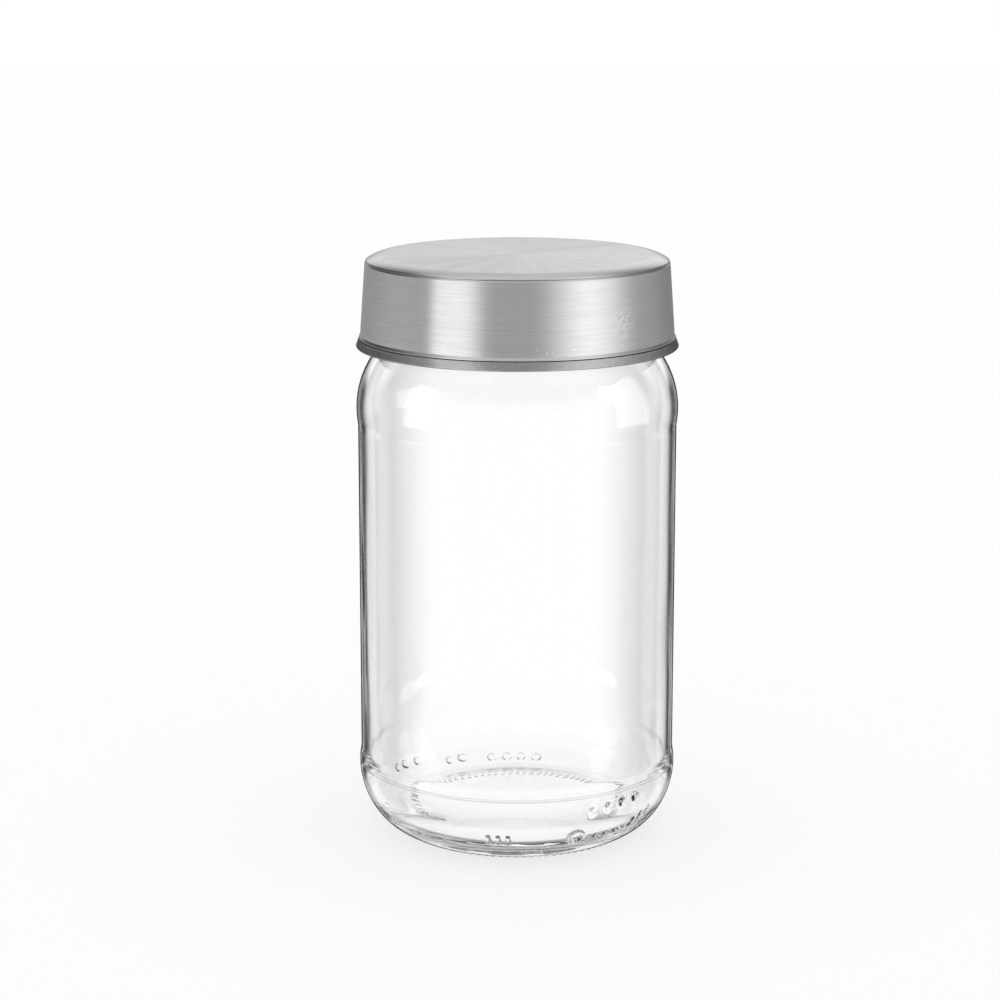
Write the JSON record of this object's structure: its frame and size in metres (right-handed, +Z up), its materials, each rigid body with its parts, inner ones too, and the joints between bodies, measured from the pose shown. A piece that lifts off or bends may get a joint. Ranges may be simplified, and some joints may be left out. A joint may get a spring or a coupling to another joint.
{
  "type": "spice jar",
  "caption": "Clear round glass jar with a wide mouth and a brushed-steel screw lid that has a grey plastic insert and a liner disc.",
  "frame": {"origin": "centre of the ring that the jar stands on, at table height", "axes": "+Z up along the jar's axis, -Y towards the viewer of the picture, with the front row of mould dots to the front right"},
  "size_m": [0.0754, 0.0754, 0.1381],
  "materials": {
    "clear_glass": "clear pressed glass, polished",
    "liner": "soft matt foam liner",
    "grey_plastic": "dark grey moulded plastic, satin gloss",
    "brushed_steel": "fine brushed stainless steel, radial on the top and level on the wall"
  },
  "bodies": {
    "jar": {"glass_jar": "clear_glass"},
    "seal": {"seal_disc": "liner"},
    "lid": {"cap_insert": "grey_plastic", "cap_shell": "brushed_steel"}
  },
  "joints": [
    {"name": "lid_lift", "type": "slide", "parent": "jar", "child": "seal", "axis": [0, 0, 1], "range_m": [0, 0.024]},
    {"name": "lid_turn", "type": "hinge", "parent": "seal", "child": "lid", "pos_m": [0, 0, 0.1348], "axis": [0, 0, 1], "range_deg": [0, 540]}
  ],
  "couplings": [
    {"joint": "lid_lift", "follows": "lid_turn", "m_per_rad": 0.0025465}
  ]
}
